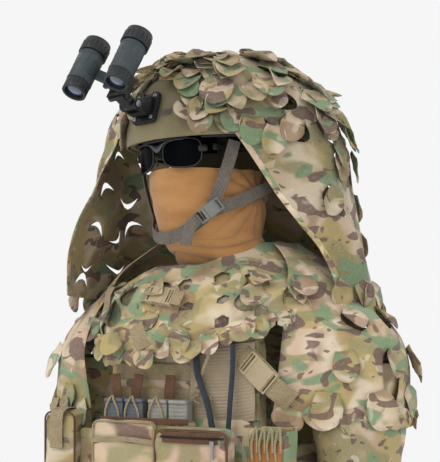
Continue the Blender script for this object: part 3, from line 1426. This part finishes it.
def magazine(number, x, material):
    pouch("magazine_%d" % number, (x - 16.5, x + 16.5, -186.4, -164.4, -389, -179), material, 16, 1, 0, 0,
          3.0, 26, nodes=("magazines",))
    for j in range(5):
        z = -182.5 - 6.2 * j
        path = [Vector((x + dx, -186.9 + 0.5 * abs(dx) / 14, z)) * MM for dx in (-14, -7, 0, 7, 14)]
        across = [UPRIGHT] * len(path)
        rib = ribbon("magazine_rib_%d_%d" % (number, j), path, across, 0.0022, 0.0012, material)
        place(rib)
    pouch("magazine_floor_%d" % number, (x - 17, x + 17, -188, -164, -184, -178.6), material, 14, 0.5, 0, 0,
          3.0, 14)


for k, x in enumerate(MAG_X):
    magazine(k + 1, x, M["magazine" if k < 2 else "magazine_pale"])
for k, (x, lean) in enumerate(((-105, -3), (-72, 4), (-12, 2))):
    bends = ((0, -170, -178.6), (0.3, -171.5, -166), (1, -170.5, -154), (1.3, -170, -142))
    points = [(x + lean * share, y, z) for share, y, z in bends]
    flat_strap("pull_tab_%d" % (k + 1), points, 17, "brown_web", t=2.0, nodes=("pull_tabs",))
for k, x in enumerate(MAG_X[:3]):
    side = [(13, -188.5, -212), (11, -190, -196), (4, -190.5, -181)]
    points = [(x - dx, y, z) for dx, y, z in side]
    points += [(x, -187, -175)] + [(x + dx, y, z) for dx, y, z in side[::-1]]
    cord("magazine_elastic_%d" % (k + 1), mm_path(points, 40), 1.6, M["tan_web"])


# ---------------------------------------------------------------- pouches

pouch("flat_pouch_cloth", (-132, -18, -204, -190.5, -390, -210), M["gold_pouch"], 10, 2.5, 0, 1.3, 14.0, 36,
      nodes=("flat_pouch",))
piping("flat_pouch_piping", (-130.5, -19.5, -388, -213), 11, -201.6, M["tan_web"])
stitches("flat_pouch_seam", [(-120, -204.2, -236), (-75, -205, -232), (-30, -204.2, -236)])
flat_strap("flat_pouch_flap_edge", [(-131, -203, -243), (-75, -205, -239), (-19, -203, -243)], 8, count=30)

ZIP_Z = -231
TEETH = 58
FOUR_CORNERS = ((-1, -1), (1, -1), (1, 1), (-1, 1))
pouch("zip_pouch_cloth", (-12, 118, -222, -190.5, -392, -216), M["pouch"], 9, 5, 4, 1.8, 17.0, 40,
      nodes=("zip_pouch",))
piping("zip_pouch_piping", (-9, 115, -389, -221), 15, -215.5, M["brown_web"], 1.9)
flat_strap("zip_tape", [(x, y, ZIP_Z) for x, y in ((-6, -214), (30, -221.4), (76, -221.6), (112, -215))], 17,
           "brown_web", t=1.2, count=40)
verts, faces = [], []
for c in spline([(x, y, ZIP_Z) for x, y in ((-4, -215.4), (30, -222.4), (76, -222.6), (110, -216.2))], TEETH):
    for dz in (-0.9, 0.9):
        tooth = c + Vector((0.5 if dz > 0 else -0.5, 0, dz))
        faces += [tuple(len(verts) + i for i in f) for f in BOX_FACES]
        for w, h, y in ((0.6, 0.9, 0), (0.45, 0.7, -0.9)):
            verts += [(tooth + Vector((sx * w, y, sz * h))) * MM for sx, sz in FOUR_CORNERS]
place(make_object("zip_teeth", verts, faces, M["plastic"]))
bevelled("zipper_slider", M["steel"], 0.5)
stitches("zip_pouch_seam_upper", [(-4, -216.4, -222), (53, -223.4, -221), (108, -217.5, -222)], "tan_web")
stitches("zip_pouch_seam_lower", [(-4, -217.4, -242), (53, -224.2, -242), (108, -218.5, -242)], "tan_web")
for k, z in enumerate((-292, -330, -368)):
    points = [(x, y, z) for x, y in ((-8, -218), (20, -223.2), (53, -225), (86, -223.4), (114, -218.4))]
    flat_strap("zip_pouch_row_%d" % k, points, 25, count=36)

pouch("side_pouch_cloth", (-250, -188, -168, -112, -392, -200), M["pouch"], 7, 7, 6, 2.4, 23.0, 34,
      nodes=("side_pouch",))
pouch("side_pouch_wing", (-192, -133, -148, -142, -384, -230), M["carrier"], 12, 0.5, 0, 0.4, 29.0, 20)
OVER_TOP = ((-112, -206), (-140, -199.5), (-166, -206), (-170, -236), (-169.5, -262))
flat_strap("side_pouch_strap", [(-221, y, z) for y, z in OVER_TOP], 24, face=(0, -0.4, 0.9), count=40)
piping("side_pouch_piping", (-247, -191, -389, -206), 12, -162.5, M["brown_web"], 1.6)

pouch("utility_pouch_cloth", (134, 200, -192, -150, -388, -214), M["pouch"], 12, 3, 0, 1.0, 31.0, 34,
      open_top=True, nodes=("utility_pouch",))
pouch("utility_pouch_front", (139, 195, -195, -190, -300, -232), M["orange"], 9, 1.5, 0, 0.8, 37.0, 22)
BUNGEE = ((0, -194.5, -262), (-1, -197, -240), (3, -197.5, -222), (5, -194, -213), (8, -196.5, -224),
          (8, -196, -250))
for k, x in enumerate((147, 160, 173, 186)):
    cord("bungee_%d" % k, mm_path([(x + dx, y, z) for dx, y, z in BUNGEE], 32), 1.9, M["tan_web"])


# ---------------------------------------------------------------- shoulder straps and cummerbund

STRAP_SIDE = [(-143, -64), (-137, -35), (-110, -18), (-62, -7), (20, -7), (88, -20), (116, -37), (121, -64)]
STRAP_X = 95
PAD_STEPS, PAD_SIDES = 70, 20
FRONT_DROP, BACK_DROP = 12, 57
BAND_STEPS, BAND_ROWS = 39, 30
BAND_Y = -10


def shoulder_strap(side, hand):
    """A stuffed pad over the shoulder with its webbing."""
    line = mm_path([(side * STRAP_X, y, z) for y, z in STRAP_SIDE], PAD_STEPS)
    verts = []
    for k, p in enumerate(line):
        up = Vector((1, 0, 0)).cross(ahead_of(line, k))
        up = up if up.z > 0 or abs(up.z) < 0.35 else -up
        if k < FRONT_DROP:
            up = Vector((0, -abs(up.y), abs(up.z))).normalized()
        elif k > BACK_DROP:
            up = Vector((0, abs(up.y), abs(up.z))).normalized()
        puff = 1 + 0.08 * wobble(p, 40, side)
        for j in range(PAD_SIDES):
            x = squared(TAU * j / PAD_SIDES, 0.4)[0] * 22.4
            h = squared(TAU * j / PAD_SIDES, 0.7)[1] * 4.6 * puff
            verts.append(p + Vector((x, 0, 0)) * MM + up * (h - 3.2) * MM)
    faces = grid_faces(PAD_SIDES, PAD_STEPS - 1, closed=True)
    faces += [tuple(range(PAD_SIDES))[::-1], tuple(range(len(verts) - PAD_SIDES, len(verts)))]
    pad = make_object("shoulder_pad_" + hand, verts, faces, M["carrier"])
    set_shift(pad, [(side * 1.3, 0.4, 0.2)] * len(verts))
    place(pad, nodes=("shoulder_straps",))
    web = [(side * STRAP_X, y * 1.012, z + 3.0) for y, z in STRAP_SIDE]
    flat_strap("shoulder_webbing_" + hand, web, 25, face=(0, -0.35, 1), t=1.6, count=60)


def cummerbund_half(side, hand):
    """A padded band round one flank with three rows of webbing."""
    arc = []
    for k in range(BAND_STEPS + 1):
        a = math.radians(mix(57, 124, k / BAND_STEPS))
        arc.append((side * 157 * math.sin(a), BAND_Y - 129 * math.cos(a)))
    verts = []
    for x, y in arc:
        out = Vector((x, y - BAND_Y, 0)).normalized()
        for j in range(BAND_ROWS + 1):
            z = mix(-391, -251, j / BAND_ROWS)
            edge = min(j, BAND_ROWS - j) / BAND_ROWS * 2
            puff = 3.2 * min(1, edge * 6) ** 0.5 + 0.8 * noise.noise(Vector((x * 0.05, y * 0.05, z * 0.05)))
            verts.append((Vector((x, y, z)) + out * (puff - 1)) * MM)
    band = make_object("cummerbund_cloth_" + hand, verts, grid_faces(BAND_ROWS, BAND_STEPS), M["carrier"])
    set_shift(band, [(side * 2.3, 1.4, 0.9)] * len(verts))
    solidify(band, 0.007, -side)
    place(band, nodes=("cummerbund",))
    for j, z in enumerate((-276, -314, -352)):
        path = mm_path([(x * 1.022, BAND_Y + (y - BAND_Y) * 1.022, z) for x, y in arc[::4]], 40)
        across = [UPRIGHT] * len(path)
        row = ribbon("cummerbund_row_%s_%d" % (hand, j), path, across, 0.025, 0.0016, M["tan_web"])
        place(row)


for side, hand in ((1, "left"), (-1, "right")):
    shoulder_strap(side, hand)
    cummerbund_half(side, hand)


# ---------------------------------------------------------------- upper chest

for j, z in enumerate((-100, -138, -176)):
    points = [(-118, -153.4, z), (-60, -154.0, z), (0, -154.2, z), (66, -154.0, z)]
    flat_strap("chest_row_%d" % j, points, 25, count=40)
    stitches("chest_row_seam_%d" % j, [(-80, -155.6, z - 11), (-80, -155.6, z + 11)])

PANEL_COLUMNS, PANEL_ROWS = 24, 184


def pleats(u, v):
    """The ribbed panel: 23 small pleats under one broad swell."""
    x = mix(18, 130, u)
    z = mix(-94, -212, v) + 12 * (u - 0.35) ** 2
    swell = math.sin(math.pi * u) * math.sin(math.pi * min(1, v * 1.3))
    y = -156.5 - 0.9 * abs(math.sin(v * math.pi * 23 + 3 * u * u)) - 3.5 * swell
    return Vector((x, y, z)) * MM


verts = []
for j in range(PANEL_ROWS + 1):
    verts += [pleats(i / PANEL_COLUMNS, j / PANEL_ROWS) for i in range(PANEL_COLUMNS + 1)]
pleated = make_object("pleated_panel", verts, grid_faces(PANEL_COLUMNS, PANEL_ROWS), M["ribbed"])
place(solidify(pleated, 0.0016, 0.0))

STICK = [(0, 0), (3.2, 0), (3.8, 1.5), (3.8, 8), (3.3, 9), (3.3, 58), (3.8, 59), (3.8, 67), (3, 69), (0, 69)]
CLIP = [(24, -164, -172), (34, -167, -164), (50, -168, -168), (60, -167, -178), (48, -166, -186),
        (34, -166, -182), (28, -165, -176), (40, -167, -170)]
stick = lathe("tan_stick", STICK, matrix(("t", 30, -160.5, -160), ("y", 24)), M["tan_plastic"], 28)
place(stick)
cord("cord_clip", mm_path(CLIP, 60), 1.6, M["tan_web"])

for buckle, width in (("strap_buckle", 1.2), ("yoke_buckle", 1.0)):
    for half in ("female", "male"):
        bevelled("%s_%s" % (buckle, half), M["tan_plastic"], width, 3)

STRAP_BUCKLE = matrix(("t", 128, -153, -126), ("y", -138))
YOKE_BUCKLE = matrix(("t", -14, -172.5, -25), ("x", -32), ("y", 8))


def buckle_strap(name, where, points, width, body):
    """A strap laid out in a buckle's own frame by x and y, in mm."""
    path = [where @ (p * MM) for p in spline([(x, y, 0) for x, y in points], 26)]
    across = [where.to_3x3() @ UPRIGHT] * len(path)
    place(ribbon(name, path, across, width * MM, 0.0018, M["tan_web"], 0.0004), body)


buckle_strap("strap_buckle_webbing", STRAP_BUCKLE, [(-37, -5), (-52, -3), (-66, 3), (-78, 9)], 34, "root")
buckle_strap("strap_tongue_webbing", STRAP_BUCKLE, [(9, -5), (17, -8), (27, -5), (34, 0)], 34, "strap_tongue")
buckle_strap("yoke_buckle_webbing", YOKE_BUCKLE, [(-29, -4), (-40, -1), (-50, 5)], 24, "root")
buckle_strap("yoke_tongue_webbing", YOKE_BUCKLE, [(8, -4), (17, -7), (30, -4)], 24, "yoke_tongue")
HANGING_END = [(-150, -118, -8), (-154, -124, -22), (-153, -128, -38), (-157, -131, -56)]
FOLDED_TAB = [(-62, -186, -66), (-56, -192, -74), (-50, -192, -88), (-44, -190, -101)]
flat_strap("hanging_strap_end", HANGING_END, 20, face=(-0.5, -0.85, 0))
flat_strap("folded_tab", FOLDED_TAB, 26, face=(0.1, -1, 0.1))

# Ladder buckle on the near side of the yoke: three bars between two rails.
for j, dx in enumerate((-9, 0, 9)):
    bar = [Vector((100 + dx, -108 + dx * 0.5, -3 + s)) * MM for s in (-12, -6, 0, 6, 12)]
    cord("ladder_bar_%d" % j, bar, 2.4, M["tan_plastic"], 12)
for j, z in enumerate((-15, 9)):
    rail = [Vector((100 + dx, -108 + dx * 0.5, z)) * MM for dx in (-11, -5, 0, 5, 11)]
    cord("ladder_rail_%d" % j, rail, 2.6, M["tan_plastic"], 12)


# ---------------------------------------------------------------- tubes and pen light

HYDRATION = [(34, -160, -72), (33, -165, -100), (36, -168, -134), (46, -171, -158), (58, -174, -184),
             (67, -176, -218), (72, -176, -252)]
ANTENNA = [(92, -175, -262), (94, -175, -226), (97, -174, -180), (100, -172, -130), (100, -171, -92)]
ANTENNA_BASE = [(0, 0), (8, 0), (9, 1.5), (9, 12), (8.2, 13), (8.2, 15), (9, 16), (9, 22), (6, 25), (4.6, 29),
                (0, 29)]


def sleeved_tube(name, route, node, radius, ripple, rate):
    """A tube in a braided sleeve, with a fine ripple along it."""
    tube = tube_mesh(name, mm_path(route, 90), lambda t: radius + ripple * math.sin(t * rate), M["tube"], 20)
    place(tube, nodes=(node,))


sleeved_tube("hydration_hose", HYDRATION, "hydration_tube", 0.0049, 0.00025, 260)
sleeved_tube("antenna_whip", ANTENNA, "radio_antenna", 0.0039, 0.0002, 300)
base = lathe("antenna_base", ANTENNA_BASE, matrix(("t", 92, -175, -290)), M["plastic"], 40)
place(base)

PENLIGHT = matrix(("t", -141, -176, -298), ("y", 4))
PENLIGHT_PROFILE = [
    (0, 0), (2.3, 0), (2.7, 1), (5, 25), (5.4, 26), (6.3, 26.6), (6.5, 28), (6.5, 38), (6.1, 38.6), (6.1, 40),
    (6.5, 40.6), (6.5, 70), (6.1, 70.6), (6.1, 72), (6.5, 72.6), (6.5, 77.5), (6, 78.5), (6, 86), (5.4, 87),
    (3.7, 87), (3.7, 81), (0, 81),
]
PENLIGHT_CLIP = [(0, -6.4, 80), (0, -8.6, 82), (0, -9.2, 76), (0, -8.4, 56), (0, -7.2, 44), (0, -8.4, 41)]
barrel = lathe("penlight_body", PENLIGHT_PROFILE, PENLIGHT, M["plastic"], 48)
place(barrel, nodes=("penlight",))
clip_line = [PENLIGHT @ p for p in mm_path(PENLIGHT_CLIP, 30)]
clip_across = [PENLIGHT.to_3x3() @ Vector((1, 0, 0))] * len(clip_line)
place(ribbon("penlight_clip", clip_line, clip_across, 0.004, 0.0009, M["steel"]))
bevelled("penlight_button", M["plastic"], 0.5)


# ---------------------------------------------------------------- cloth declarations


# ---------------------------------------------------------------- stage

FLOOR_RADIUS, FLOOR_Z, FLOOR_SIDES = 1.12, -0.412, 96


def area_light(name, at, aim, size, power):
    data = bpy.data.lights.new(name, "AREA")
    data.size = size
    data.energy = power
    light = linked(name, data)
    light.location = at
    light.rotation_euler = (Vector(aim) - Vector(at)).to_track_quat("-Z", "Y").to_euler()


def make_stage():
    angles = [TAU * k / FLOOR_SIDES for k in range(FLOOR_SIDES)]
    verts = [(FLOOR_RADIUS * math.cos(a), FLOOR_RADIUS * math.sin(a), FLOOR_Z) for a in angles]
    s = Shader("floor", roughness=0.9, specular=0.1)
    s.colour(s.blend(srgb(246, 246, 246), srgb(238, 238, 238), s.noise(2, 2)))
    make_object("floor", verts, [tuple(range(FLOOR_SIDES))], s.material, False)
    world = bpy.data.worlds.new("studio")
    world.use_nodes = True
    sky = world.node_tree.nodes["Background"].inputs
    sky["Color"].default_value = (1, 1, 1, 1)
    sky["Strength"].default_value = 0.92
    bpy.context.scene.world = world
    bpy.context.scene.view_settings.view_transform = "Standard"
    area_light("key", (-0.6, -2.4, 2.3), (0, 0, 0.0), 1.3, 26)
    area_light("fill", (2.6, -1.8, 0.9), (0, 0, 0.0), 1.8, 8)
    area_light("front", (0.3, -3.0, 0.2), (0, 0, -0.1), 1.8, 9)
    area_light("rim", (0.8, 1.6, 2.2), (0, 0, 0.1), 1.2, 10)


make_stage()
make_camera()
